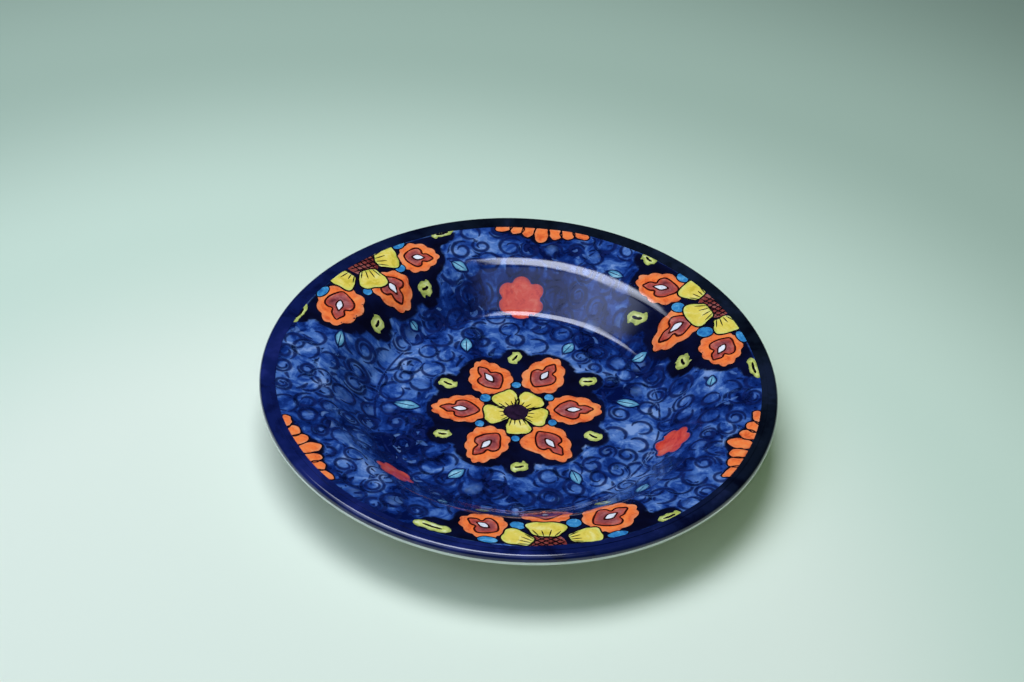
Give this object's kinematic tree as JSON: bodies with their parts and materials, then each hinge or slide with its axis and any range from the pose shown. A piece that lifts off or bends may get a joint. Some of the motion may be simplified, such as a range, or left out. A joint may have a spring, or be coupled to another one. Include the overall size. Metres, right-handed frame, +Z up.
{
  "type": "rimmed ceramic plate",
  "caption": "Round rimmed plate with a flat well, steep wall, broad sloping rim and foot ring, painted with flowers under a clear glaze and banded at the lip.",
  "frame": {"origin": "centre of the circle on which the foot ring rests, at table height", "axes": "+Z up the plate's axis, from the table towards the diner; +X and +Y lie in the table's plane, and the plate's turned shape is the same all round"},
  "size_m": [0.24, 0.24, 0.032],
  "materials": {
    "bare_clay": "matte",
    "painted_face": "gloss",
    "cobalt_band": "gloss",
    "white_glaze": "gloss"
  },
  "bodies": {
    "root": {"clay_body": "bare_clay", "face_glaze": "painted_face", "lip_band_glaze": "cobalt_band", "back_glaze": "white_glaze", "foot_well_glaze": "white_glaze"}
  },
  "joints": []
}
